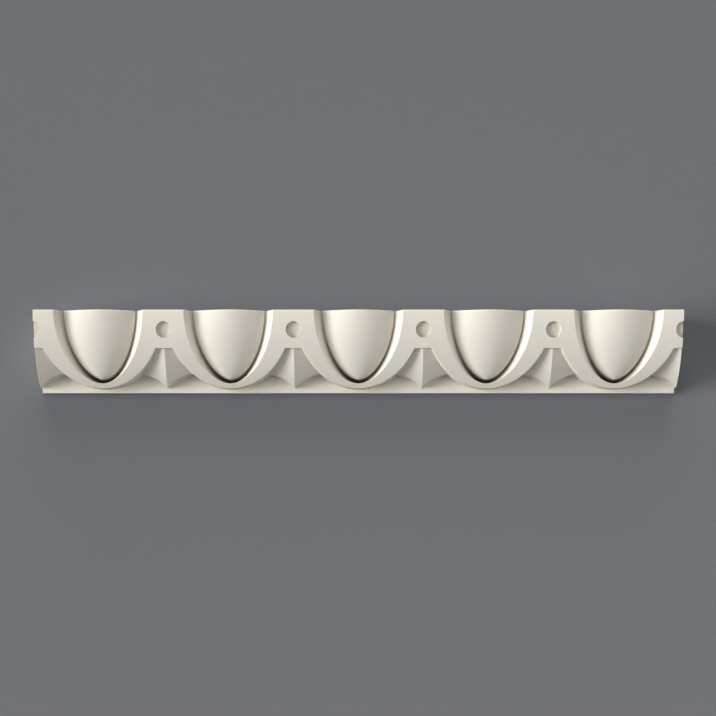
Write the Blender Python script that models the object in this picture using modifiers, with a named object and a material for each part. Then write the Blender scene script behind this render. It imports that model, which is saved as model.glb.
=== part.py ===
"""Egg and dart moulding: one straight length of cast plaster, cut square at both ends.

X runs along the length and Z up. The flat back lies on the wall at Y = 0 and the front faces -Y. The origin
is in the middle of the back. All the ornament is placed by two measures: a drop is taken down from the top,
and a setback is taken from the front edge of the top back towards the wall. Half a repeat is carved first, from
the middle of an egg to the middle of a block, and then mirrored and repeated. Sizes are in metres.
"""

import math

import bmesh
import bpy
from mathutils import Vector

# The length as a whole
REPEAT = 0.120  # from the middle of one egg to the middle of the next
REPEATS = 5
HEIGHT = 0.0735
PROJECTION = 0.058  # from the ground of the ornament to the front edge of the top
BACKING = 0.008  # plaster behind the ground

# The ovolo, the bulging face that blocks and shells share: an arc that leans back as it comes down
OVOLO_LEAN = math.radians(10.5)  # lean of the face at the top
SHELL_SETBACK = 0.041  # of the face at the foot of a shell
SHELL_CLEARANCE = 0.0025  # from the foot of a shell to the bottom of the moulding

# The opening of a shell, and the groove in it around the egg
RIM_WIDTH = 0.019  # of the shell at the top, from the opening to the middle of the block
RIM_FOOT = 0.0055  # of the shell at its foot
GROOVE_WIDTH = 0.0084  # of the sloping wall at the top, from the opening to the egg
GROOVE_FOOT = 0.0016  # of the sloping wall at the foot of the egg
GROOVE_DEPTH = 0.0103  # behind the ovolo, at the top
GROOVE_FOOT_DEPTH = 0.0054  # behind the ovolo, at the foot of the egg
OPENING_POINT = 1.07  # 1 draws the opening as half an ellipse, and more brings its foot to a point
EGG_POINT = 1.08  # the same for the egg
EGG_RECESS = 0.0005  # of the egg's middle behind the ovolo, at the top
EGG_FULLNESS = 0.6  # the lower, the longer the egg stays full on its way down to its foot

# The block between two shells, and its round dimple
BLOCK_DROP = 0.0347  # of the underside
DIMPLE_DROP = 0.0178  # of the middle
DIMPLE_WIDTH = 0.0145
DIMPLE_DEPTH = 0.0036

# The dart under a block: two facets that meet in an arris, with a hollow arc under each
ARRIS_SETBACK = 0.0032  # behind the ovolo, under the block
DART_ANGLE = math.radians(126)  # between the facets
DART_CLEARANCE = 0.0046  # from the point of the dart to the bottom of the moulding
POINT_HEIGHT = 0.0105  # of the point of the dart over the ground
POINT_BEND = 3.0  # power by which the arris falls away towards the point
SHOULDER_DROP = 0.0563  # where a facet's lower edge meets the shell
SHOULDER_SAG = 0.0021  # height of the arc of that edge over its chord

# Fineness of the round forms
OVOLO_STEPS = 12
SHELL_STEPS = 22
EGG_ROWS = 12
EGG_COLUMNS = 8
DART_STEPS = 8
ARC_STEPS = 7
DIMPLE_SEGMENTS = 20
DIMPLE_RINGS = 18

PLASTER_COLOUR = (0.78, 0.745, 0.655, 1.0)
PLASTER_ROUGHNESS = 0.75

CUT_MARGIN = 0.006  # by which a cutter runs out of the plaster
SHARP_ANGLE = math.radians(25)
WELD = 1e-6
JOIN = 1e-5  # within which the points of two halves or of two repeats are one

LENGTH = REPEAT * REPEATS
THICKNESS = PROJECTION + BACKING
SHELL_DROP = HEIGHT - SHELL_CLEARANCE
OPENING_DROP = SHELL_DROP - RIM_FOOT
EGG_DROP = OPENING_DROP - GROOVE_FOOT
OPENING_REACH = REPEAT / 2 - RIM_WIDTH
EGG_REACH = OPENING_REACH - GROOVE_WIDTH
DART_DROP = HEIGHT - DART_CLEARANCE
SHOULDER_REACH = REPEAT / 2 * (1 - math.sqrt(1 - (SHOULDER_DROP / SHELL_DROP) ** 2))


def place(across, drop, setback):
    """The point at a distance along the length, a drop and a setback."""
    return Vector((across, setback - THICKNESS, HEIGHT / 2 - drop))


def ovolo_setback(drop):
    """How far the ovolo has leaned back at a drop."""
    chord_lean = math.atan2(SHELL_SETBACK, SHELL_DROP)
    radius = math.hypot(SHELL_SETBACK, SHELL_DROP) / (2 * math.sin(chord_lean - OVOLO_LEAN))
    sine = math.sin(OVOLO_LEAN) + drop / radius
    return radius * (math.cos(OVOLO_LEAN) - math.sqrt(1 - sine * sine))


def arris_setback(drop):
    """How far back the arris of a dart is: along the ovolo at first, then away towards the ground."""
    start = ovolo_setback(BLOCK_DROP) + ARRIS_SETBACK
    fall = PROJECTION - POINT_HEIGHT - ovolo_setback(DART_DROP) - ARRIS_SETBACK
    share = max(0.0, (drop - BLOCK_DROP) / (DART_DROP - BLOCK_DROP))
    return start + ovolo_setback(drop) - ovolo_setback(BLOCK_DROP) + fall * share**POINT_BEND


def steps(start, end, count):
    """Evenly spaced values from start to end, count of them after the first."""
    return [start + (end - start) * i / count for i in range(count + 1)]


def link(name, mesh, collection):
    """Adds a mesh to the scene as an object in a collection."""
    made = bpy.data.objects.new(name, mesh)
    collection.objects.link(made)
    return made


def finish_mesh(name, shape):
    """Welds a bmesh and makes it a mesh of triangles."""
    bmesh.ops.remove_doubles(shape, verts=shape.verts, dist=WELD)
    bmesh.ops.triangulate(shape, faces=shape.faces)
    mesh = bpy.data.meshes.new(name)
    shape.to_mesh(mesh)
    shape.free()
    return mesh


def outline_solid(name, outline, depth, centre, turn, collection):
    """A flat outline, drawn as a filled curve and given a depth, and then made a mesh."""
    curve = bpy.data.curves.new(name, "CURVE")
    curve.dimensions = "2D"
    curve.fill_mode = "BOTH"
    curve.extrude = depth / 2
    spline = curve.splines.new("POLY")
    spline.points.add(len(outline) - 1)
    for point, (across, up) in zip(spline.points, outline):
        point.co = (across, up, 0, 1)
    spline.use_cyclic_u = True
    drawn = link(name + "_drawn", curve, collection)
    drawn.location = centre
    drawn.rotation_euler = turn
    bpy.context.view_layer.update()
    shape = bmesh.new()
    evaluated = drawn.evaluated_get(bpy.context.evaluated_depsgraph_get())
    flat = bpy.data.meshes.new_from_object(evaluated)
    shape.from_mesh(flat)
    bmesh.ops.remove_doubles(shape, verts=shape.verts, dist=WELD)
    bmesh.ops.recalc_face_normals(shape, faces=shape.faces)
    made = link(name, finish_mesh(name, shape), collection)
    made.matrix_world = drawn.matrix_world
    bpy.data.objects.remove(drawn)
    bpy.data.curves.remove(curve)
    bpy.data.meshes.remove(flat)
    return made


def mirrored_loft(name, sections, collection):
    """A body through half sections, open in the middle, where the other half is mirrored on.

    The sections come from the top down. Each has the same number of points, from the middle of the front
    round the right side to the middle of the back, so that every face is wound to face out.
    """
    shape = bmesh.new()
    rows = [[shape.verts.new(point) for point in section] for section in sections]
    for row, following in zip(rows, rows[1:]):
        for i in range(len(row) - 1):
            shape.faces.new((following[i], following[i + 1], row[i + 1], row[i]))
    shape.faces.new(rows[0])
    shape.faces.new(reversed(rows[-1]))
    made = link(name, finish_mesh(name, shape), collection)
    mirror = made.modifiers.new("Other half", "MIRROR")
    mirror.use_axis = (True, False, False)
    mirror.merge_threshold = WELD
    return made


def combine(made, other, operation):
    """Joins, cuts or trims one object with another."""
    boolean = made.modifiers.new(f"{operation.title()} {other.name}", "BOOLEAN")
    boolean.operation = operation
    boolean.solver = "EXACT"
    boolean.object = other


def make_blank(collection):
    """The plain moulding, for half a repeat and a margin at both ends: back, top, ovolo and bottom."""
    ovolo = [place(0, drop, ovolo_setback(drop)) for drop in steps(0, SHELL_DROP, OVOLO_STEPS)]
    foot = place(0, HEIGHT, SHELL_SETBACK)
    back = [Vector((0, 0, -HEIGHT / 2)), Vector((0, 0, HEIGHT / 2))]
    outline = [(point.y, point.z) for point in ovolo + [foot] + back]
    turn = (math.pi / 2, 0, math.pi / 2)
    run = REPEAT / 2 + 2 * CUT_MARGIN
    return outline_solid("egg_and_dart_moulding", outline, run, (REPEAT / 4, 0, 0), turn, collection)


def make_ground_cutter(collection):
    """What is cut away in front of the ground: all that lies below the blocks and outside the shell."""
    end = REPEAT / 2 + 2 * CUT_MARGIN
    outline = [(-end, -HEIGHT / 2 - CUT_MARGIN), (end, -HEIGHT / 2 - CUT_MARGIN)]
    outline.append((end, HEIGHT / 2 - BLOCK_DROP))
    turn_at_block = math.acos(BLOCK_DROP / SHELL_DROP)
    for turn in steps(turn_at_block, -turn_at_block, SHELL_STEPS):
        outline.append((REPEAT / 2 * math.sin(turn), HEIGHT / 2 - SHELL_DROP * math.cos(turn)))
    outline.append((-end, HEIGHT / 2 - BLOCK_DROP))
    depth = PROJECTION + CUT_MARGIN
    centre = (0, -BACKING - depth / 2, 0)
    return outline_solid("ground_cutter", outline, depth, centre, (math.pi / 2, 0, 0), collection)


def make_egg_mould(collection):
    """What is cut out of a shell: an opening with sloping walls, dished at the back by the egg."""
    start = -math.asin(CUT_MARGIN / EGG_DROP)
    sections = []
    for turn in steps(start, math.pi / 2, EGG_ROWS):
        groove_drop = EGG_DROP * math.sin(turn)
        groove_depth = GROOVE_DEPTH + (GROOVE_FOOT_DEPTH - GROOVE_DEPTH) * math.sin(turn)
        groove_setback = ovolo_setback(groove_drop) + groove_depth
        narrowing = max(0.0, math.cos(turn))
        egg_reach = EGG_REACH * narrowing**EGG_POINT
        bulge = (groove_depth - EGG_RECESS) * narrowing**EGG_FULLNESS
        egg = []
        for share in steps(1, 0, EGG_COLUMNS):
            egg.append(place(egg_reach * share, groove_drop, groove_setback - bulge * (1 - share**2)))
        rim_drop = OPENING_DROP * math.sin(turn)
        rim = place(OPENING_REACH * narrowing**OPENING_POINT, rim_drop, ovolo_setback(rim_drop))
        outer = rim + (rim - egg[0]) * (CUT_MARGIN / groove_depth)
        middle = Vector((0, outer.y, outer.z))
        sections.append([middle, outer] + egg)
    return mirrored_loft("egg_mould", sections, collection)


def make_dimple_cutter(collection):
    """A sphere that sinks into the middle of a block as far as the dimple is deep."""
    radius = (DIMPLE_WIDTH**2 / 4 + DIMPLE_DEPTH**2) / (2 * DIMPLE_DEPTH)
    shape = bmesh.new()
    bmesh.ops.create_uvsphere(shape, u_segments=DIMPLE_SEGMENTS, v_segments=DIMPLE_RINGS, radius=radius)
    mesh = bpy.data.meshes.new("dimple_cutter")
    shape.to_mesh(mesh)
    shape.free()
    made = link("dimple_cutter", mesh, collection)
    lean = math.atan2(
        ovolo_setback(DIMPLE_DROP + DIMPLE_WIDTH / 2) - ovolo_setback(DIMPLE_DROP - DIMPLE_WIDTH / 2),
        DIMPLE_WIDTH,
    )
    outwards = Vector((0, -math.cos(lean), -math.sin(lean)))
    middle = place(REPEAT / 2, DIMPLE_DROP, ovolo_setback(DIMPLE_DROP))
    made.location = middle + outwards * (radius - DIMPLE_DEPTH)
    made.rotation_euler = outwards.to_track_quat("Z", "Y").to_euler()
    return made


def make_dart_outline(collection):
    """The front outline of a dart: two hollow arcs that meet in the point, and wide sides above them."""
    chord = Vector((SHOULDER_REACH, DART_DROP - SHOULDER_DROP))
    radius = (chord.length_squared / 4 + SHOULDER_SAG**2) / (2 * SHOULDER_SAG)
    half_turn = math.asin(chord.length / 2 / radius)
    chord_turn = math.atan2(chord.y, chord.x)
    right = []
    for turn in steps(chord_turn + half_turn, chord_turn - half_turn, ARC_STEPS):
        across = radius * (math.sin(chord_turn + half_turn) - math.sin(turn))
        rise = radius * (math.cos(turn) - math.cos(chord_turn + half_turn))
        right.append((across, HEIGHT / 2 - DART_DROP + rise))
    right.append((REPEAT / 2 - CUT_MARGIN, HEIGHT / 2 - SHOULDER_DROP))
    right.append((REPEAT / 2 - CUT_MARGIN, HEIGHT / 2))
    left = [(-across, up) for across, up in reversed(right[1:])]
    depth = 2 * THICKNESS
    return outline_solid("dart_outline", right + left, depth, (0, 0, 0), (math.pi / 2, 0, 0), collection)


def make_dart(collection):
    """A dart: an arris with a facet to each side, trimmed to the outline and set into the ground."""
    root = PROJECTION + BACKING / 2
    sections = []
    for drop in steps(BLOCK_DROP - CUT_MARGIN / 2, DART_DROP + CUT_MARGIN / 4, DART_STEPS):
        setback = arris_setback(drop)
        reach = (root - setback) * math.tan(DART_ANGLE / 2)
        sections.append([place(0, drop, setback), place(reach, drop, root), place(0, drop, root)])
    made = mirrored_loft("dart", sections, collection)
    outline = make_dart_outline(collection)
    outline.parent = made
    combine(made, outline, "INTERSECT")
    made.location.x = REPEAT / 2
    return made


def bake(made):
    """Puts what the modifiers make of an object in its mesh, at its place in the world."""
    bpy.context.view_layer.update()
    evaluated = made.evaluated_get(bpy.context.evaluated_depsgraph_get())
    made.data = bpy.data.meshes.new_from_object(evaluated)
    made.data.transform(made.matrix_world)
    made.matrix_world.identity()
    made.modifiers.clear()


def open_cuts(made):
    """Cuts a half repeat through the middle of its egg and of its block, and leaves both cuts open."""
    shape = bmesh.new()
    shape.from_mesh(made.data)
    for across, side in ((0, -1), (REPEAT / 2, 1)):
        bmesh.ops.bisect_plane(
            shape,
            geom=shape.verts[:] + shape.edges[:] + shape.faces[:],
            dist=WELD,
            plane_co=(across, 0, 0),
            plane_no=(side, 0, 0),
            clear_outer=True,
        )
    shape.to_mesh(made.data)
    shape.free()


def run_along(made):
    """Mirrors the open half repeat, and repeats the whole one along the length."""
    mirror = made.modifiers.new("Other half", "MIRROR")
    mirror.use_axis = (True, False, False)
    mirror.merge_threshold = JOIN
    array = made.modifiers.new("Repeats", "ARRAY")
    array.count = REPEATS
    array.use_relative_offset = False
    array.use_constant_offset = True
    array.constant_offset_displace = (REPEAT, 0, 0)
    array.use_merge_vertices = True
    array.merge_threshold = JOIN
    made.location.x = (REPEAT - LENGTH) / 2
    bake(made)


def close_ends(made):
    """Closes both ends of the length, and shades it smooth between sharp edges."""
    shape = bmesh.new()
    shape.from_mesh(made.data)
    rims = [edge for edge in shape.edges if edge.is_boundary]
    bmesh.ops.holes_fill(shape, edges=rims, sides=0)
    shape.to_mesh(made.data)
    shape.free()
    made.data.shade_smooth()
    made.data.set_sharp_from_angle(angle=SHARP_ANGLE)


def plaster():
    """Plain cream plaster with a soft sheen."""
    material = bpy.data.materials.new("cast_plaster")
    material.use_nodes = True
    shader = material.node_tree.nodes["Principled BSDF"]
    shader.inputs["Base Color"].default_value = PLASTER_COLOUR
    shader.inputs["Roughness"].default_value = PLASTER_ROUGHNESS
    shader.inputs["Metallic"].default_value = 0.0
    return material


def main():
    for old in list(bpy.data.objects):
        bpy.data.objects.remove(old)
    parts = bpy.data.collections.new("egg_and_dart_moulding")
    cutters = bpy.data.collections.new("cutters")
    for collection in (parts, cutters):
        bpy.context.scene.collection.children.link(collection)

    moulding = make_blank(parts)
    moulding.data.materials.append(plaster())
    combine(moulding, make_ground_cutter(cutters), "DIFFERENCE")
    combine(moulding, make_egg_mould(cutters), "DIFFERENCE")
    combine(moulding, make_dimple_cutter(cutters), "DIFFERENCE")
    combine(moulding, make_dart(cutters), "UNION")
    bake(moulding)
    open_cuts(moulding)
    run_along(moulding)
    close_ends(moulding)
    for cutter in cutters.objects:
        cutter.hide_render = True
        cutter.display_type = "WIRE"


main()
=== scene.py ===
# %% [markdown]
# # An egg and dart moulding in cast plaster
# The real thing is one straight length of ovolo moulding, cast in plaster from a rubber mould and cut square
# at both ends. Eggs sit in shells, a block with a round dimple joins each shell to the next, and a dart hangs
# below each block. It is all one casting, so this script makes one mesh for it.
#
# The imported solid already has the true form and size. It could be shown as it is, but its facets are coarse
# and its edges razor sharp. So the visible casting is drawn again as a fine, orderly mesh, from sizes that
# are the solid's own or close to them. The solid stays behind it as the frame that everything has to fit.

# %% Load the frame
import math

import bmesh
import bpy
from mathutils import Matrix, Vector


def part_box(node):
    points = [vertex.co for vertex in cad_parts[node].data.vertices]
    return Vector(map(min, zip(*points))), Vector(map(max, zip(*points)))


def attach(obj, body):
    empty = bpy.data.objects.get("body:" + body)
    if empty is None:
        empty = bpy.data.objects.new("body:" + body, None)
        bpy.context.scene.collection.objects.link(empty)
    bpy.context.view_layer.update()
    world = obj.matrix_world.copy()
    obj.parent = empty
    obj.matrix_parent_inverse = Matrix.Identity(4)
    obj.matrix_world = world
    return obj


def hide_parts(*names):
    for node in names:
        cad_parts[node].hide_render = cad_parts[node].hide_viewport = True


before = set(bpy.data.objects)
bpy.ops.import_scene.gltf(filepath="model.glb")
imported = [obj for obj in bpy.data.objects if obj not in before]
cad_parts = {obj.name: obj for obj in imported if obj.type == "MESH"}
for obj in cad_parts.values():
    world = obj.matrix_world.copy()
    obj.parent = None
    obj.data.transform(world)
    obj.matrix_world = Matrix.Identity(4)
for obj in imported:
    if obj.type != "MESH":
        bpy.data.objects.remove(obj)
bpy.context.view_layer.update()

MOULDING = "egg_and_dart_moulding"
low, high = (Vector(corner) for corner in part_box(MOULDING))
print("frame:", [round(side * 1000, 1) for side in high - low], "mm")

# %% [markdown]
# ## The camera
# The picture was taken from straight in front, from a little below the moulding, with a long lens: the shell
# feet and the bottom edge are drawn smaller than the top edge, which stands nearer to the lens. The place and
# the lens below give the same drawing in a square picture.

# %% Stand the camera in front
CAMERA_DISTANCE = 1.554  # from the front of the moulding
CAMERA_LOW = 0.1426  # below the middle of the moulding
CAMERA_TILT = math.radians(4.94)  # upwards
CAMERA_SIDE = -0.0004  # from the middle of the length, to the left
LENS = 85.5
SENSOR = 36.0

camera_data = bpy.data.cameras.new("camera")
camera_data.lens = LENS
camera_data.sensor_width = SENSOR
camera = bpy.data.objects.new("camera", camera_data)
camera.location = (CAMERA_SIDE, low.y - CAMERA_DISTANCE, -CAMERA_LOW)
camera.rotation_euler = (math.pi / 2 + CAMERA_TILT, 0, 0)
bpy.context.scene.collection.objects.link(camera)
bpy.context.scene.camera = camera
print("camera:", [round(value, 3) for value in camera.location])

# %% [markdown]
# ## Two measures for every point
# A moulding is drawn from its section, so each point of the ornament is placed by how far it is down from the
# top, its drop, and how far it is back from the very front, its setback. The third measure is across, from
# the middle of an egg. The overall sizes come from the frame. The rest are the sizes that the solid was
# modelled from, some of them set a little finer for this mesh.

# %% Set out the section
REPEATS = 5
LENGTH = high.x - low.x
THICKNESS = high.y - low.y
HEIGHT = high.z - low.z
REPEAT = LENGTH / REPEATS
HALF = REPEAT / 2  # from the middle of an egg to the middle of a block
GROUND = 0.058  # setback of the ground of the ornament
OVOLO_LEAN = math.radians(10.5)  # of the face at the top
FACE_SETBACK = 0.0012  # of the face at the top, which leaves room for the eggs to stand in front of it
SHELL_SETBACK = 0.041  # of the face at the foot of a shell
SHELL_CLEARANCE = 0.0033  # from the foot of a shell to the bottom of the moulding
SHELL_DROP = HEIGHT - SHELL_CLEARANCE


def place(across, drop, setback):
    """The point at a distance from the middle of the egg, a drop and a setback."""
    return Vector((across, high.y + setback - THICKNESS, high.z - drop))


def ovolo(drop):
    """Setback of the bulging face at a drop: an arc that leans back as it comes down."""
    rise = SHELL_SETBACK - FACE_SETBACK
    chord_lean = math.atan2(rise, SHELL_DROP)
    radius = math.hypot(rise, SHELL_DROP) / (2 * math.sin(chord_lean - OVOLO_LEAN))
    sine = math.sin(OVOLO_LEAN) + drop / radius
    return FACE_SETBACK + radius * (math.cos(OVOLO_LEAN) - math.sqrt(1 - sine * sine))


def on_face(point):
    """The point on the face at a flat place, given as across and drop."""
    return place(point.x, point.y, ovolo(point.y))


def between(first, last, count):
    """Evenly spaced numbers or points from the first to the last."""
    return [first + (last - first) * (i / count) for i in range(count + 1)]


print(f"repeat {REPEAT * 1000:.1f} mm, face set back {ovolo(SHELL_DROP) * 1000:.1f} mm at the shell's foot")

# %% [markdown]
# ## A skin of rows
# Cut with Booleans, a fine mesh ends in slivers that no bevel can follow. Here each surface is a skin
# instead: rows of points, joined into four-sided faces. Neighbouring skins share the points of their common
# edge and are welded at the end. Only half a repeat is drawn, from the middle of an egg to the middle of a
# block.
#
# A point can also carry a number of its own, in a layer of the mesh. Here it is painted shade: how much
# darker the plaster is painted there, for the deep shadow in slots and corners. There is least of it at the
# top and most at the foot.

# %% Start the half repeat
TOP_PAINTED_SHADE = 0.2  # share that the top has of the painted shade at the foot

shape = bmesh.new()
# A layer of painted shade: how much the plaster is darkened at each point, for the shadow in slots and
# corners.
painted_shade = shape.verts.layers.float.new("painted_shade")


def skin(rows, painted_shade_columns=None):
    """Adds faces between rows with the same number of points. The columns in the last argument get painted
    shade.
    """
    made = [[shape.verts.new(point) for point in row] for row in rows]
    for row in made:
        # Painted shade: the chosen columns are darkened as their shadow would, more towards the foot.
        for i, amount in (painted_shade_columns or {}).items():
            low_share = (high.z - row[i].co.z) / HEIGHT
            row[i][painted_shade] = amount * (TOP_PAINTED_SHADE + (1 - TOP_PAINTED_SHADE) * low_share**2)
    for row, following in zip(made, made[1:]):
        for i in range(len(row) - 1):
            shape.faces.new((row[i], row[i + 1], following[i + 1], following[i]))


print("half repeat started")

# %% [markdown]
# ## Egg, groove and shell
# Each egg is carved in a groove inside the opening of its shell. On the drawing, the opening and the egg are
# both near half ellipses whose foot comes to a slight point, so a turn from 0 at the top to a quarter at the
# foot gives a point of each. The outer edge of the shell is a quarter of an ellipse too.

# %% Draw the lines of the face
RIM_WIDTH = 0.019  # of the shell at the top, from the opening to the middle of the block
OPENING_REACH = HALF - RIM_WIDTH
OPENING_DROP = 0.0657
OPENING_POINT = 1.07  # 1 draws half an ellipse, and more brings its foot to a point
BLOCK_DROP = 0.0347
BLOCK_TURN = math.acos(BLOCK_DROP / SHELL_DROP)
SHOULDER_DROP = 0.0563  # where a facet of the dart meets the shell
SHOULDER_TURN = math.acos(SHOULDER_DROP / SHELL_DROP)
CHEEK_BOW = 0.0018  # by which the rows make room for the dimple


def narrowing(turn):
    """Share of its width that an opening or an egg has left at a turn."""
    return max(0.0, math.cos(turn))


def rim(turn):
    """Edge of the opening."""
    return Vector((OPENING_REACH * narrowing(turn) ** OPENING_POINT, OPENING_DROP * math.sin(turn)))


def shell_edge(turn):
    """Outer edge of the shell: the turn is 0 at its foot."""
    return Vector((HALF * math.sin(turn), SHELL_DROP * math.cos(turn)))


def cheek(share):
    """A line down the face beside the dimple, from the top to the corner of the block."""
    across = shell_edge(BLOCK_TURN).x - CHEEK_BOW * math.sin(math.pi * share)
    return Vector((across, BLOCK_DROP * share))


print(f"opening {OPENING_REACH * 2000:.1f} mm wide at the top")

# %% [markdown]
# The egg swells up from the bottom of the groove, and its curve across gets fuller towards its foot. A narrow
# slot is cut all around it. The slot is shallow at the top, and widens and deepens to a near black line under
# the foot of the egg. A bump or a displaced surface couldn't give it, because its sides are too steep, so the
# rows of the skin run down into it and up again.

# %% Draw the egg and the slot around it
GROOVE_DEPTH = 0.0103  # behind the face, at the top
GROOVE_FOOT_DEPTH = 0.0072  # behind the face, at the foot of the egg
GROOVE_WIDTH = 0.0082  # from the opening to the egg, at the top
GROOVE_FOOT_WIDTH = 0.0034  # from the opening to the egg, at its foot
EGG_REACH = OPENING_REACH - GROOVE_WIDTH
EGG_DROP = OPENING_DROP - GROOVE_FOOT_WIDTH
EGG_POINT = 1.18  # works as the opening's does
EGG_STAND = 0.0012  # of the egg's middle in front of the face, at the top
EGG_FULLNESS = 0.46  # the lower, the longer the egg stays full on its way down
EGG_ROUND = 1.85  # power of the curve across the egg at the top
EGG_FOOT_ROUND = 2.4  # and at its foot
SLOT_WIDTH = 0.0013  # beside the top of the egg
SLOT_FOOT_WIDTH = 0.0027  # under its foot
SLOT_WIDENING = 4  # power by which it widens on the way down
SLOT_DEPTH = 0.0034  # beside the top of the egg
SLOT_FOOT_DEPTH = 0.0110  # under its foot
SLOT_DEEPENING = 3  # power by which it deepens on the way down
SLOT_SECTION = ((0.12, 0.3), (0.3, 0.7), (0.55, 1.0), (1.0, 0.85))  # shares of its width and its depth
SLOT_MOST = 0.8  # share of the way from the egg to the opening that the slot may take


def egg_point(turn, share):
    """A point of the egg, from its middle at share 0 to the bottom of the groove at share 1."""
    drop = EGG_DROP * math.sin(turn)
    depth = GROOVE_DEPTH + (GROOVE_FOOT_DEPTH - GROOVE_DEPTH) * math.sin(turn)
    crown = (depth + EGG_STAND) * narrowing(turn) ** EGG_FULLNESS
    across = EGG_REACH * narrowing(turn) ** EGG_POINT * share
    power = EGG_ROUND + (EGG_FOOT_ROUND - EGG_ROUND) * math.sin(turn)
    return place(across, drop, ovolo(drop) + depth - crown * (1 - share**power))


def slot(turn):
    """Down the side of the egg, across the narrow slot around it and up to the start of the wall."""
    edge = egg_point(turn, 1)
    flat = Vector((edge.x, high.z - edge.z))
    gap = rim(turn) - flat
    width = SLOT_WIDTH + (SLOT_FOOT_WIDTH - SLOT_WIDTH) * math.sin(turn) ** SLOT_WIDENING
    across = gap.normalized() * min(width, gap.length * SLOT_MOST)
    deep = SLOT_DEPTH + (SLOT_FOOT_DEPTH - SLOT_DEPTH) * math.sin(turn) ** SLOT_DEEPENING
    setback = edge.y - high.y + THICKNESS
    points = []
    for share, depth in SLOT_SECTION:
        spot = flat + across * share
        points.append(place(spot.x, spot.y, setback + deep * depth))
    return points


print(f"egg {EGG_REACH * 2000:.1f} mm wide at the top and {EGG_DROP * 1000:.1f} mm high")

# %% [markdown]
# A row of the skin runs from the middle of the egg over its crown, through the slot, up the sloping wall of
# the groove and across the face of the shell to its outer edge. The slot's columns carry its painted shade.

# %% Skin the egg, the groove and the face
EGG_COLUMNS = 20
WALL_COLUMNS = 7
FACE_COLUMNS = 7
CHEEK_ROWS = 14
SHELL_SIDE_ROWS = 14  # above the shoulder of the dart
SHELL_FOOT_ROWS = EGG_COLUMNS + len(SLOT_SECTION) + WALL_COLUMNS + FACE_COLUMNS
RIM_TURN = math.radians(25)  # turn at which the row to the corner of the block leaves the opening
# Painted shade in the slot, darkening it as its shadow would, from the edge of the egg to the foot of the
# wall.
SLOT_PAINTED_SHADE = (0.3, 0.7, 1.0, 1.0, 0.7)  # from the edge of the egg to the foot of the wall

side_turns = between(BLOCK_TURN, SHOULDER_TURN, SHELL_SIDE_ROWS)
foot_turns = between(SHOULDER_TURN, 0, SHELL_FOOT_ROWS)


def across_row(turn, outer):
    """One row, from the middle of the egg to a point on the outer edge of the face."""
    crown = [egg_point(turn, share) for share in between(0, 1, EGG_COLUMNS)]
    groove = slot(turn)
    wall = between(groove[-1], on_face(rim(turn)), WALL_COLUMNS)
    face = [on_face(point) for point in between(rim(turn), outer, FACE_COLUMNS)]
    return crown + groove + wall[1:] + face[1:]


face_rows = [across_row(RIM_TURN * share, cheek(share)) for share in between(0, 1, CHEEK_ROWS)]
for shell_turn in side_turns[1:] + foot_turns[1:]:
    rim_turn = math.pi / 2 - shell_turn / BLOCK_TURN * (math.pi / 2 - RIM_TURN)
    face_rows.append(across_row(rim_turn, shell_edge(shell_turn)))
skin(face_rows, painted_shade_columns={EGG_COLUMNS + i: amount for i, amount in enumerate(SLOT_PAINTED_SHADE)})
print("face rows:", len(face_rows), "of", len(face_rows[0]), "points")

# %% [markdown]
# ## Block and dimple
# The dimple is a small round hollow, as a blunt punch leaves it: its side is steep, and its floor swells a
# little in the middle. It is drawn flat, as an ellipse, and set back from the leaning face. Each point of its
# edge lies on the way from its middle to a point of the block's outline. So the rows of the face around it
# run straight outwards, and so do the rows of the hollow.

# %% Skin the dimple and the face around it
BLOCK_COLUMNS = 8
RING_COLUMNS = 4
DIMPLE_DROP = 0.0180  # of its middle
DIMPLE_REACH = Vector((0.0070, 0.0074))  # half its width and half its height
DIMPLE_SIDE = 0.0052  # depth of the steep side
DIMPLE_DOME = 0.0017  # by which the floor stands higher in the middle
FLOOR_SHARES = (0.98, 0.94, 0.8, 0.6, 0.4, 0.2, 0.0)  # of the way from the middle to the edge
HOLLOW = [(1.0, 0.0), (0.99, 0.5)] + [(share, 1.0) for share in FLOOR_SHARES]

dimple_middle = Vector((HALF, DIMPLE_DROP))


def dimple_rim(towards):
    """Where the edge of the dimple is on the way to a point."""
    away = towards - dimple_middle
    return dimple_middle + away / math.hypot(away.x / DIMPLE_REACH.x, away.y / DIMPLE_REACH.y)


def in_dimple(edge, share, down):
    """A point of the hollow: its share of the way from the middle to the edge, and of the depth there."""
    spot = dimple_middle.lerp(edge, share)
    depth = down * (DIMPLE_SIDE - DIMPLE_DOME * (1 - share**2))
    return place(spot.x, spot.y, ovolo(spot.y) + depth)


corner = shell_edge(BLOCK_TURN)
block_foot = between(Vector((HALF, BLOCK_DROP)), corner, BLOCK_COLUMNS)
block_top = between(cheek(0), Vector((HALF, 0)), BLOCK_COLUMNS)
block_edge = block_foot + [cheek(share) for share in between(1, 0, CHEEK_ROWS)][1:] + block_top[1:]
rims = [dimple_rim(point) for point in block_edge]
skin([[on_face(p) for p in between(start, end, RING_COLUMNS)] for start, end in zip(rims, block_edge)])
skin([[in_dimple(edge, share, down) for share, down in HOLLOW] for edge in rims])
print(f"dimple: {(DIMPLE_SIDE - DIMPLE_DOME) * 1000:.1f} mm deep in the middle")

# %% [markdown]
# ## Dart
# The dart has two facets that meet in an arris, like the ridge of a roof. The arris follows the lean of the
# face and then falls away to a point. The facets die into the shells at both sides, and a hollow arc trims
# each of them below. A facet has four edges, and two of them are curved in front view. So its skin blends
# all four, which is known as a Coons patch.

# %% Draw the dart
ARRIS_SETBACK = 0.0026  # behind the face, under the block
FACET_SLOPE = 0.45  # setback gained for each step away from the arris
DART_CLEARANCE = 0.0046  # from the point of the dart to the bottom of the moulding
DART_DROP = HEIGHT - DART_CLEARANCE
POINT_HEIGHT = 0.0105  # of the point over the ground
POINT_BEND = 3.0  # power by which the arris falls away to the point


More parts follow.
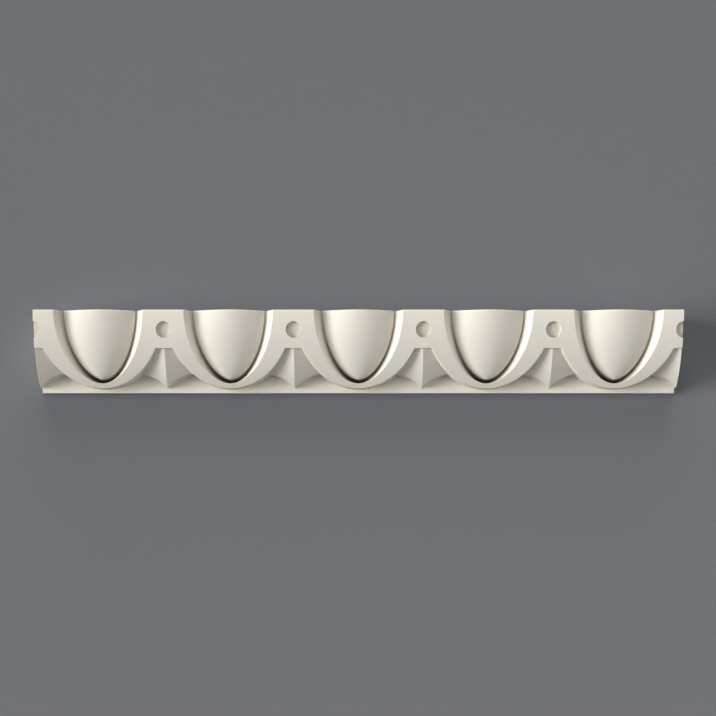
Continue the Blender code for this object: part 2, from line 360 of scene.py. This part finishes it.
def arris(drop):
    """Setback of the arris."""
    start = ovolo(BLOCK_DROP) + ARRIS_SETBACK
    fall = GROUND - POINT_HEIGHT - ovolo(DART_DROP) - ARRIS_SETBACK
    share = max(0.0, (drop - BLOCK_DROP) / (DART_DROP - BLOCK_DROP))
    return start + ovolo(drop) - ovolo(BLOCK_DROP) + fall * share**POINT_BEND


def on_facet(point):
    """The point of the facet behind a flat place."""
    return place(point.x, point.y, arris(point.y) + (HALF - point.x) * FACET_SLOPE)


def on_ground(point):
    """The point of the ground behind a flat place."""
    return place(point.x, point.y, GROUND)


print(f"dart: {POINT_HEIGHT * 1000:.1f} mm over the ground at its point")


# %% Two ways to fill in lines
def arc(first, last, sag, count):
    """Points of a flat arc that bows up from its chord."""
    chord = last - first
    radius = (chord.length_squared / 4 + sag**2) / (2 * sag)
    up = Vector((chord.y, -chord.x)).normalized()
    if up.y > 0:
        up = -up
    middle = (first + last) / 2 - up * (radius - sag)
    half_turn = math.asin(chord.length / 2 / radius)
    along = chord.normalized()
    turns = between(-half_turn, half_turn, count)
    return [middle + (along * math.sin(turn) + up * math.cos(turn)) * radius for turn in turns]


def blend_four(top, foot, inner, outer):
    """A Coons patch: rows from the top line to the foot line, between the inner and the outer line."""
    rows = []
    for j, (start, end) in enumerate(zip(inner, outer)):
        v = j / (len(inner) - 1)
        row = []
        for i, (above, below) in enumerate(zip(top, foot)):
            u = i / (len(top) - 1)
            ruled = start.lerp(end, u) + above.lerp(below, v)
            row.append(ruled - top[0].lerp(top[-1], u).lerp(foot[0].lerp(foot[-1], u), v))
        rows.append(row)
    return rows


print("arc and patch ready")

# %% Skin the facet and what it dies into
ARC_SAG = 0.0021  # height of a facet's hollow arc over its chord
DEPTH_COLUMNS = 5
ROOT_COLUMNS = 3

shoulder = shell_edge(SHOULDER_TURN)
point_of_dart = Vector((HALF, DART_DROP))
dart_arc = arc(point_of_dart, shoulder, ARC_SAG, BLOCK_COLUMNS)
arris_line = between(Vector((HALF, BLOCK_DROP)), point_of_dart, SHELL_SIDE_ROWS)
shell_side = [shell_edge(turn) for turn in side_turns]
shell_foot = [shell_edge(turn) for turn in foot_turns]
skin([[on_facet(p) for p in row] for row in blend_four(block_foot, dart_arc, arris_line, shell_side)])

# the underside of the block, and the side of the shell down to the shoulder
for line in (block_foot, shell_side):
    skin([between(on_face(p), on_facet(p), DEPTH_COLUMNS) for p in line])

# the hollow under the dart, back to the ground
skin([between(on_facet(p), on_ground(p), ROOT_COLUMNS) for p in dart_arc])

# the side of the shell from the shoulder round to its foot
shoulder_height = on_ground(shoulder) - on_facet(shoulder)
skin(
    [
        between(on_face(p), on_ground(p) - shoulder_height, DEPTH_COLUMNS)
        + between(on_ground(p) - shoulder_height, on_ground(p), ROOT_COLUMNS)[1:]
        for p in shell_foot
    ]
)
print("faces with the dart:", len(shape.faces))

# %% [markdown]
# ## Ground, bottom, back and top
# The rest is plain. The counts of columns were chosen so that the front of the top face has as many points as
# the front of the bottom face, and the back is then one more skin between them. A little painted shade
# darkens the corner where the shells and the darts rise from the ground.

# %% Skin the plain sides
GROUND_ROWS = 5
EDGE_ROWS = 3
BACK_ROWS = 12
TOP_ROWS = 8
# painted shade in the corner of the ground, where the shells and the darts rise from it
GROUND_PAINTED_SHADE = 0.25

ground_line = shell_foot[::-1] + dart_arc[::-1][1:]
foot_line = [Vector((point.x, HEIGHT)) for point in ground_line]
ground_rows = [[on_ground(p) for p in between(*ends, GROUND_ROWS)] for ends in zip(ground_line, foot_line)]
skin(ground_rows, painted_shade_columns={0: GROUND_PAINTED_SHADE})
back_foot = [place(point.x, HEIGHT, THICKNESS) for point in foot_line]
skin([between(on_ground(p), end, EDGE_ROWS) for p, end in zip(foot_line, back_foot)])
top_front = face_rows[0] + [on_face(point) for point in block_top[1:]]
back_top = [place(point.x, 0, THICKNESS) for point in top_front]
skin([between(start, end, TOP_ROWS) for start, end in zip(top_front, back_top)])
skin([between(start, end, BACK_ROWS) for start, end in zip(back_top, back_foot)])
print("faces in half a repeat:", len(shape.faces))

# %% [markdown]
# ## From half a repeat to the whole length
# Mirror and Array modifiers would do the same, but the ends can only be closed once the copies are joined.
# So the copies are made in the mesh itself, welded, and the two open ends are filled with one flat face each.

# %% Mirror, repeat, weld and close
WELD = 1e-5

bmesh.ops.remove_doubles(shape, verts=shape.verts, dist=WELD)
bmesh.ops.dissolve_degenerate(shape, edges=shape.edges, dist=WELD)
half_verts = list(shape.verts)
half_faces = list(shape.faces)


def copy_half(centre, side):
    """Copies the half repeat to one side of an egg's middle."""
    copies = bmesh.ops.duplicate(shape, geom=half_verts + half_faces)
    for v in copies["geom"]:
        if isinstance(v, bmesh.types.BMVert):
            v.co.x = centre + side * v.co.x


for i in range(REPEATS):
    for side in (1, -1):
        copy_half(low.x + REPEAT * (i + 0.5), side)
bmesh.ops.delete(shape, geom=half_verts, context="VERTS")
bmesh.ops.remove_doubles(shape, verts=shape.verts, dist=WELD)
open_edges = [edge for edge in shape.edges if edge.is_boundary]
bmesh.ops.holes_fill(shape, edges=open_edges, sides=0)
bmesh.ops.recalc_face_normals(shape, faces=shape.faces)
print("open edges left:", sum(edge.is_boundary for edge in shape.edges), "faces:", len(shape.faces))

# %% [markdown]
# ## Soft edges
# Plaster leaves a rubber mould with edges that are crisp but never sharp: a rounding of about half a
# millimetre catches a thin line of light. A Bevel modifier can round every edge that turns by more than a set
# angle, but then all of them by the same width. Here the front edge of the top is rounder than the rest, and
# a rounding has to be tight to fit in a slot, a dimple or the corner of the ground. So each edge is given a
# weight, its share of the widest rounding, and the modifier goes by those.

# %% Give each edge its rounding
EDGE_ANGLE = math.radians(28)  # an edge that turns by less stays as it is
EDGE_WIDTH = 0.0004
TOP_EDGE_WIDTH = 0.0014  # along the front of the top
TIGHT_EDGE_WIDTH = 0.00014
# the least painted shade that marks a point as in a slot or in the corner of the ground
LEAST_DUST = 0.03
DIMPLE_MARGIN = 0.0006


def in_painted_shade(v):
    """Whether a point is in a slot or in the corner of the ground, where shade is painted."""
    return v[painted_shade] > LEAST_DUST


def at_dimple(v):
    """Whether a point is in a dimple or on its edge."""
    past_block = (v.co.x - low.x) % REPEAT
    across = min(past_block, REPEAT - past_block)
    return math.hypot(across, high.z - v.co.z - DIMPLE_DROP) < DIMPLE_REACH.y + DIMPLE_MARGIN


def edge_rounding(edge):
    """Width of the rounding of an edge."""
    if any(in_painted_shade(v) or at_dimple(v) for v in edge.verts):
        return TIGHT_EDGE_WIDTH
    on_top = all(v.co.z > high.z - WELD for v in edge.verts)
    at_back = any(v.co.y > high.y - WELD for v in edge.verts)
    at_end = all(min(v.co.x - low.x, high.x - v.co.x) < WELD for v in edge.verts)
    return TOP_EDGE_WIDTH if on_top and not at_back and not at_end else EDGE_WIDTH


weight = shape.edges.layers.float.new("bevel_weight_edge")
sharp_edges = [edge for edge in shape.edges if edge.calc_face_angle(0) > EDGE_ANGLE]
for edge in sharp_edges:
    edge[weight] = edge_rounding(edge) / TOP_EDGE_WIDTH
print("edges to round:", len(sharp_edges))

# %% [markdown]
# ## The casting
# The finished shape becomes an object. It rides on the moulding's only body and stands for its solid. The
# edges are rounded by the modifier, so that the mesh below it stays simple, and Weighted Normal keeps the
# flat faces beside them looking flat.

# %% Make the casting and round its edges
ROUNDING_STEPS = 3

casting_mesh = bpy.data.meshes.new("casting")
shape.to_mesh(casting_mesh)
shape.free()
casting_mesh.shade_smooth()
casting = bpy.data.objects.new("casting", casting_mesh)
bpy.context.scene.collection.objects.link(casting)
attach(casting, "root")
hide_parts(MOULDING)

bevel = casting.modifiers.new("Soft edges", "BEVEL")
bevel.width = TOP_EDGE_WIDTH
bevel.segments = ROUNDING_STEPS
bevel.limit_method = "WEIGHT"
bevel.use_clamp_overlap = False
normals = casting.modifiers.new("Flat faces stay flat", "WEIGHTED_NORMAL")
normals.keep_sharp = True
print("casting:", len(casting_mesh.vertices), "points before its edges are rounded")

# %% [markdown]
# ## A way to write materials
# A material in Blender is a graph of nodes, and in Python each node and each link costs a line. A small class
# makes that shorter: it wraps the socket that a node gives out, so that sums and products of such sockets are
# written as plain expressions and add their own Math nodes. Every other node comes from one method.

# %% Wrap a socket
class Wire:
    """What one node of a material gives out."""

    def __init__(self, tree, socket):
        self.tree = tree
        self.socket = socket

    def node(self, kind, settings=None, **values):
        """Adds a node: its settings first, then the values or wires of its sockets."""
        made = self.tree.nodes.new(kind)
        for name, setting in (settings or {}).items():
            setattr(made, name, setting)
        for name, value in values.items():
            key = int(name[1:]) if name[0] == "_" else name.replace("_", " ")
            if isinstance(value, Wire):
                self.tree.links.new(value.socket, made.inputs[key])
            else:
                made.inputs[key].default_value = value
        return made

    def out(self, made, name=0):
        """The wire that leaves a node by one of its outputs."""
        return Wire(self.tree, made.outputs[name])

    def calculate(self, operation, first, second):
        """The wire of a Math node."""
        return self.out(self.node("ShaderNodeMath", {"operation": operation}, _0=first, _1=second))

    def __add__(self, other):
        return self.calculate("ADD", self, other)

    def __sub__(self, other):
        return self.calculate("SUBTRACT", self, other)

    def __rsub__(self, other):
        return self.calculate("SUBTRACT", other, self)

    def __mul__(self, other):
        return self.calculate("MULTIPLY", self, other)

    __radd__ = __add__
    __rmul__ = __mul__


def new_material(name):
    """A material with a Principled BSDF, and the wire of its object coordinates to start from."""
    material = bpy.data.materials.new(name)
    material.use_nodes = True
    tree = material.node_tree
    start = tree.nodes.new("ShaderNodeTexCoord")
    return material, tree.nodes["Principled BSDF"], Wire(tree, start.outputs["Object"])


print("socket wrapper ready")

# %% [markdown]
# ## Plaster
# Cast gypsum is matt and nearly white, here a light cream. Four things keep it from looking like a flat
# colour. It dries a little unevenly, so there are faint cloudy patches a few centimetres wide. Its skin is a
# touch smoother in some places than in others. It has a very fine grain with shallow hollows, which a Bump
# node gives from noise. And the slots and the corner of the ground are painted a darker brown, as painted
# shade for their deep shadow, which an Attribute node reads from the points of the mesh. The other three come
# from object coordinates, in metres, so they stay on the casting.

# %% Mix the plaster
CREAM = (0.868, 0.846, 0.784, 1.0)
DAMP_CREAM = (0.840, 0.806, 0.728, 1.0)
# brown of the painted shade in the slots and corners, which stands for their deep shadow
PAINTED_SHADE_BROWN = (0.290, 0.255, 0.212, 1.0)
PAINTED_SHADE_COVER = 0.95  # of the plaster, where the painted shade is darkest
PATCH_SCALE = 16.0  # noise cells in a metre, as for the next two
SKIN_SCALE = 90.0
GRAIN_SCALE = 1400.0
GRAIN_HEIGHT = 0.00005
GRAIN_SHARE = 0.7  # of the relief
SKIN_SHARE = 1.4
MATT = 0.62
MATT_CHANGE = 0.12

plaster, surface, place_on = new_material("cast_plaster")


def noise(scale, detail):
    """Noise between 0 and 1, from the object's coordinates."""
    made = place_on.node("ShaderNodeTexNoise", Vector=place_on, Scale=scale, Detail=detail)
    return place_on.out(made, "Fac")


def mix_colours(share, first, second):
    """The wire of a Mix node for colours. Its inputs 6 and 7 and its output 2 are the ones for colours."""
    return place_on.out(
        place_on.node("ShaderNodeMix", {"data_type": "RGBA"}, Factor=share, _6=first, _7=second), 2
    )


patches = noise(PATCH_SCALE, detail=3.0)
skin_noise = noise(SKIN_SCALE, detail=2.0)
grain = noise(GRAIN_SCALE, detail=4.0)

clouds = mix_colours(patches, CREAM, DAMP_CREAM)
# the painted shade darkens the plaster towards that brown in the slots and corners
painted_shade_node = place_on.node("ShaderNodeAttribute", {"attribute_name": "painted_shade"})
shade_painted_colour = mix_colours(PAINTED_SHADE_COVER * place_on.out(painted_shade_node, "Fac"), clouds, PAINTED_SHADE_BROWN)
roughness = MATT + MATT_CHANGE * (skin_noise - 0.5)
relief = GRAIN_SHARE * grain + SKIN_SHARE * skin_noise
bump = place_on.node("ShaderNodeBump", Height=relief, Strength=1.0, Distance=GRAIN_HEIGHT)
plaster.node_tree.links.new(shade_painted_colour.socket, surface.inputs["Base Color"])
plaster.node_tree.links.new(roughness.socket, surface.inputs["Roughness"])
plaster.node_tree.links.new(bump.outputs[0], surface.inputs["Normal"])
casting.data.materials.append(plaster)
print("plaster nodes:", len(plaster.node_tree.nodes))

# %% [markdown]
# ## Backdrop
# The moulding hangs on a plain grey wall, with a paler floor far below it. Both are seen from their front
# only: their material mixes in a Transparent BSDF where Geometry says that a face is seen from its back, so
# they don't hide the casting in views from behind or from below. The wall also has an opening behind the
# casting, as if it were a window, so that light reaches the casting's back.

# %% Hang it on a plain wall
BACKDROP_REACH = 1.7
WALL_GAP = 0.0005  # behind the back of the casting
OPENING_MARGIN = 0.0005  # by which the opening is smaller than the casting, at each side
FLOOR_DROP = 1.1
WALL_GREY = (0.268, 0.274, 0.288, 1.0)
FLOOR_GREY = (0.60, 0.60, 0.60, 1.0)
STAGE_ROUGHNESS = 0.9


def paint_stage(name, colour):
    """A matt material that is seen from the front of its faces only."""
    material, coat, start = new_material(name)
    coat.inputs["Base Color"].default_value = colour
    coat.inputs["Roughness"].default_value = STAGE_ROUGHNESS
    geometry = start.node("ShaderNodeNewGeometry")
    clear = start.node("ShaderNodeBsdfTransparent")
    mixed = start.node("ShaderNodeMixShader", _0=start.out(geometry, "Backfacing"))
    tree = material.node_tree
    tree.links.new(coat.outputs[0], mixed.inputs[1])
    tree.links.new(clear.outputs[0], mixed.inputs[2])
    tree.links.new(mixed.outputs[0], tree.nodes["Material Output"].inputs["Surface"])
    return material


def add_stage(name, points, faces, material):
    """Adds a plain piece of backdrop."""
    mesh = bpy.data.meshes.new(name)
    mesh.from_pydata(points, [], faces)
    mesh.materials.append(material)
    piece = bpy.data.objects.new(name, mesh)
    bpy.context.scene.collection.objects.link(piece)


wall_y = high.y + WALL_GAP
far = BACKDROP_REACH
outer = [(-far, wall_y, -FLOOR_DROP), (far, wall_y, -FLOOR_DROP), (far, wall_y, far), (-far, wall_y, far)]
left, right = low.x + OPENING_MARGIN, high.x - OPENING_MARGIN
bottom, top = low.z + OPENING_MARGIN, high.z - OPENING_MARGIN
inner = [(left, wall_y, bottom), (right, wall_y, bottom), (right, wall_y, top), (left, wall_y, top)]
frame_faces = [(i, (i + 1) % 4, 4 + (i + 1) % 4, 4 + i) for i in range(4)]
add_stage("wall", outer + inner, frame_faces, paint_stage("wall_paint", WALL_GREY))
floor = [(-far, wall_y - far, -FLOOR_DROP), (far, wall_y - far, -FLOOR_DROP), outer[1], outer[0]]
add_stage("floor", floor, [(0, 1, 2, 3)], paint_stage("floor_paint", FLOOR_GREY))
print("wall and floor set")

# %% [markdown]
# ## Light
# The light comes mostly from the left and low over the surface, which is how relief is lit so that it reads:
# each egg is bright on its left and falls off to the right, and the right wall of its groove is the brightest
# of all. A broad front light and a low one from the right open up the shadows, and one from above brightens
# the top edge. The last stands behind the wall, for the casting's back. Sun lamps with a wide angle stand for
# large soft boxes far away: they light the whole length evenly. Each is given by where it stands, as an angle
# out from the wall and a turn around the view from the left by way of the top.

# %% Set the lights
LIGHTS = {  # rise and turn in degrees, strength, and spread in degrees
    "key": (28, 0, 2.14, 32),
    "low_key": (14, -10, 0.60, 30),
    "front": (80, 90, 0.70, 50),
    "middle": (50, 0, 0.26, 40),
    "right": (15, 192, 0.92, 45),
    "above": (25, 90, 1.60, 45),
    "behind": (-45, 60, 2.0, 60),
}


def add_light(name, rise, turn, strength, spread):
    """Adds a sun lamp that stands at a rise out from the wall and at a turn from the left, in degrees."""
    lamp = bpy.data.lights.new(name, "SUN")
    lamp.energy = strength
    lamp.angle = math.radians(spread)
    rise, turn = math.radians(rise), math.radians(turn)
    towards = Vector((-math.cos(rise) * math.cos(turn), -math.sin(rise), math.cos(rise) * math.sin(turn)))
    piece = bpy.data.objects.new(name, lamp)
    piece.rotation_euler = (-towards).to_track_quat("-Z", "Y").to_euler()
    bpy.context.scene.collection.objects.link(piece)


for light_name, light in LIGHTS.items():
    add_light(light_name, *light)
print("lights:", ", ".join(LIGHTS))

# %% [markdown]
# The world gives hardly any light, so that the shadows stay deep. It would then look nearly black past the
# edge of the wall, and in views from behind. So a Light Path node picks out what the camera sees straight
# away, and shows a plain grey there.

# %% Fill the world
WORLD_GREY = (0.42, 0.42, 0.425, 1.0)
WORLD_WHITE = (1.0, 1.0, 1.0, 1.0)
WORLD_STRENGTH = 0.02

world = bpy.data.worlds.new("studio")
bpy.context.scene.world = world
world.use_nodes = True
world_tree = world.node_tree
seen = world_tree.nodes.new("ShaderNodeBackground")
seen.inputs["Color"].default_value = WORLD_GREY
lit_by = world_tree.nodes["Background"]
lit_by.inputs["Color"].default_value = WORLD_WHITE
lit_by.inputs["Strength"].default_value = WORLD_STRENGTH
light_path = world_tree.nodes.new("ShaderNodeLightPath")
choose = world_tree.nodes.new("ShaderNodeMixShader")
world_tree.links.new(light_path.outputs["Is Camera Ray"], choose.inputs[0])
world_tree.links.new(lit_by.outputs[0], choose.inputs[1])
world_tree.links.new(seen.outputs[0], choose.inputs[2])
world_tree.links.new(choose.outputs[0], world_tree.nodes["World Output"].inputs[0])
print("world nodes:", len(world_tree.nodes))

# %% [markdown]
# ## Contrast
# The picture has deep shadows and clear highlights. Standard keeps the colours as they are mixed, and a gamma
# under 1 then gives the picture its contrast.

# %% Set the contrast
CONTRAST = 1.5

view = bpy.context.scene.view_settings
view.view_transform = "Standard"
view.gamma = 1 / CONTRAST
print(f"view gamma {view.gamma:.2f}")
